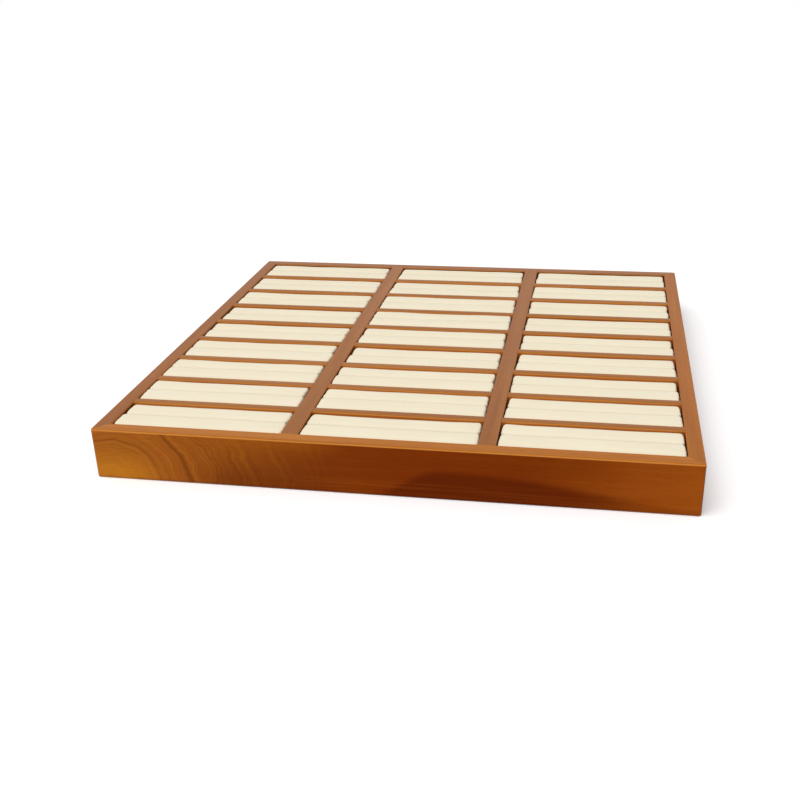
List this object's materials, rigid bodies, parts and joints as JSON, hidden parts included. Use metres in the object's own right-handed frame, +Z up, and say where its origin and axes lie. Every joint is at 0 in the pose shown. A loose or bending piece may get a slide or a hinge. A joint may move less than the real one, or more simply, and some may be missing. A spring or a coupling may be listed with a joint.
{
  "type": "jewelry display tray",
  "caption": "Square shallow ring tray: a mitred wooden frame with dividers and housed cross strips, and a lift-out soft ring pad with two rolls in every cell.",
  "frame": {"origin": "middle of the underside, on the surface that the tray stands on", "axes": "+X to the right, +Y to the back, +Z up; the front rail faces -Y"},
  "size_m": [0.35, 0.35, 0.0315],
  "materials": {
    "frame_wood": "orange-brown stain under satin lacquer",
    "strip_wood": "orange-brown stain under satin lacquer",
    "base_board": "plain sanded board",
    "key_wood": "bare, glued in",
    "brad_steel": "bright wire",
    "pad_cloth": "cream brushed microfibre over foam"
  },
  "bodies": {
    "tray": {"front_rail": "frame_wood", "back_rail": "frame_wood", "left_rail": "frame_wood", "right_rail": "frame_wood", "left_divider": "frame_wood", "right_divider": "frame_wood", "cross_strip_left_1": "strip_wood", "cross_strip_left_2": "strip_wood", "cross_strip_left_3": "strip_wood", "cross_strip_left_4": "strip_wood", "cross_strip_left_5": "strip_wood", "cross_strip_left_6": "strip_wood", "cross_strip_left_7": "strip_wood", "cross_strip_left_8": "strip_wood", "cross_strip_middle_1": "strip_wood", "cross_strip_middle_2": "strip_wood", "cross_strip_middle_3": "strip_wood", "cross_strip_middle_4": "strip_wood", "cross_strip_middle_5": "strip_wood", "cross_strip_middle_6": "strip_wood", "cross_strip_middle_7": "strip_wood", "cross_strip_middle_8": "strip_wood", "cross_strip_right_1": "strip_wood", "cross_strip_right_2": "strip_wood", "cross_strip_right_3": "strip_wood", "cross_strip_right_4": "strip_wood", "cross_strip_right_5": "strip_wood", "cross_strip_right_6": "strip_wood", "cross_strip_right_7": "strip_wood", "cross_strip_right_8": "strip_wood", "base_panel": "base_board", "base_brads": "brad_steel", "corner_keys": "key_wood"},
    "pad_left_1": {"ring_pad_left_1": "pad_cloth"},
    "pad_left_2": {"ring_pad_left_2": "pad_cloth"},
    "pad_left_3": {"ring_pad_left_3": "pad_cloth"},
    "pad_left_4": {"ring_pad_left_4": "pad_cloth"},
    "pad_left_5": {"ring_pad_left_5": "pad_cloth"},
    "pad_left_6": {"ring_pad_left_6": "pad_cloth"},
    "pad_left_7": {"ring_pad_left_7": "pad_cloth"},
    "pad_left_8": {"ring_pad_left_8": "pad_cloth"},
    "pad_left_9": {"ring_pad_left_9": "pad_cloth"},
    "pad_middle_1": {"ring_pad_middle_1": "pad_cloth"},
    "pad_middle_2": {"ring_pad_middle_2": "pad_cloth"},
    "pad_middle_3": {"ring_pad_middle_3": "pad_cloth"},
    "pad_middle_4": {"ring_pad_middle_4": "pad_cloth"},
    "pad_middle_5": {"ring_pad_middle_5": "pad_cloth"},
    "pad_middle_6": {"ring_pad_middle_6": "pad_cloth"},
    "pad_middle_7": {"ring_pad_middle_7": "pad_cloth"},
    "pad_middle_8": {"ring_pad_middle_8": "pad_cloth"},
    "pad_middle_9": {"ring_pad_middle_9": "pad_cloth"},
    "pad_right_1": {"ring_pad_right_1": "pad_cloth"},
    "pad_right_2": {"ring_pad_right_2": "pad_cloth"},
    "pad_right_3": {"ring_pad_right_3": "pad_cloth"},
    "pad_right_4": {"ring_pad_right_4": "pad_cloth"},
    "pad_right_5": {"ring_pad_right_5": "pad_cloth"},
    "pad_right_6": {"ring_pad_right_6": "pad_cloth"},
    "pad_right_7": {"ring_pad_right_7": "pad_cloth"},
    "pad_right_8": {"ring_pad_right_8": "pad_cloth"},
    "pad_right_9": {"ring_pad_right_9": "pad_cloth"}
  },
  "joints": [
    {"name": "lift_left_1", "type": "slide", "parent": "tray", "child": "pad_left_1", "axis": [0, 0, 1], "range_m": [0, 0.04]},
    {"name": "lift_left_2", "type": "slide", "parent": "tray", "child": "pad_left_2", "axis": [0, 0, 1], "range_m": [0, 0.04]},
    {"name": "lift_left_3", "type": "slide", "parent": "tray", "child": "pad_left_3", "axis": [0, 0, 1], "range_m": [0, 0.04]},
    {"name": "lift_left_4", "type": "slide", "parent": "tray", "child": "pad_left_4", "axis": [0, 0, 1], "range_m": [0, 0.04]},
    {"name": "lift_left_5", "type": "slide", "parent": "tray", "child": "pad_left_5", "axis": [0, 0, 1], "range_m": [0, 0.04]},
    {"name": "lift_left_6", "type": "slide", "parent": "tray", "child": "pad_left_6", "axis": [0, 0, 1], "range_m": [0, 0.04]},
    {"name": "lift_left_7", "type": "slide", "parent": "tray", "child": "pad_left_7", "axis": [0, 0, 1], "range_m": [0, 0.04]},
    {"name": "lift_left_8", "type": "slide", "parent": "tray", "child": "pad_left_8", "axis": [0, 0, 1], "range_m": [0, 0.04]},
    {"name": "lift_left_9", "type": "slide", "parent": "tray", "child": "pad_left_9", "axis": [0, 0, 1], "range_m": [0, 0.04]},
    {"name": "lift_middle_1", "type": "slide", "parent": "tray", "child": "pad_middle_1", "axis": [0, 0, 1], "range_m": [0, 0.04]},
    {"name": "lift_middle_2", "type": "slide", "parent": "tray", "child": "pad_middle_2", "axis": [0, 0, 1], "range_m": [0, 0.04]},
    {"name": "lift_middle_3", "type": "slide", "parent": "tray", "child": "pad_middle_3", "axis": [0, 0, 1], "range_m": [0, 0.04]},
    {"name": "lift_middle_4", "type": "slide", "parent": "tray", "child": "pad_middle_4", "axis": [0, 0, 1], "range_m": [0, 0.04]},
    {"name": "lift_middle_5", "type": "slide", "parent": "tray", "child": "pad_middle_5", "axis": [0, 0, 1], "range_m": [0, 0.04]},
    {"name": "lift_middle_6", "type": "slide", "parent": "tray", "child": "pad_middle_6", "axis": [0, 0, 1], "range_m": [0, 0.04]},
    {"name": "lift_middle_7", "type": "slide", "parent": "tray", "child": "pad_middle_7", "axis": [0, 0, 1], "range_m": [0, 0.04]},
    {"name": "lift_middle_8", "type": "slide", "parent": "tray", "child": "pad_middle_8", "axis": [0, 0, 1], "range_m": [0, 0.04]},
    {"name": "lift_middle_9", "type": "slide", "parent": "tray", "child": "pad_middle_9", "axis": [0, 0, 1], "range_m": [0, 0.04]},
    {"name": "lift_right_1", "type": "slide", "parent": "tray", "child": "pad_right_1", "axis": [0, 0, 1], "range_m": [0, 0.04]},
    {"name": "lift_right_2", "type": "slide", "parent": "tray", "child": "pad_right_2", "axis": [0, 0, 1], "range_m": [0, 0.04]},
    {"name": "lift_right_3", "type": "slide", "parent": "tray", "child": "pad_right_3", "axis": [0, 0, 1], "range_m": [0, 0.04]},
    {"name": "lift_right_4", "type": "slide", "parent": "tray", "child": "pad_right_4", "axis": [0, 0, 1], "range_m": [0, 0.04]},
    {"name": "lift_right_5", "type": "slide", "parent": "tray", "child": "pad_right_5", "axis": [0, 0, 1], "range_m": [0, 0.04]},
    {"name": "lift_right_6", "type": "slide", "parent": "tray", "child": "pad_right_6", "axis": [0, 0, 1], "range_m": [0, 0.04]},
    {"name": "lift_right_7", "type": "slide", "parent": "tray", "child": "pad_right_7", "axis": [0, 0, 1], "range_m": [0, 0.04]},
    {"name": "lift_right_8", "type": "slide", "parent": "tray", "child": "pad_right_8", "axis": [0, 0, 1], "range_m": [0, 0.04]},
    {"name": "lift_right_9", "type": "slide", "parent": "tray", "child": "pad_right_9", "axis": [0, 0, 1], "range_m": [0, 0.04]}
  ]
}
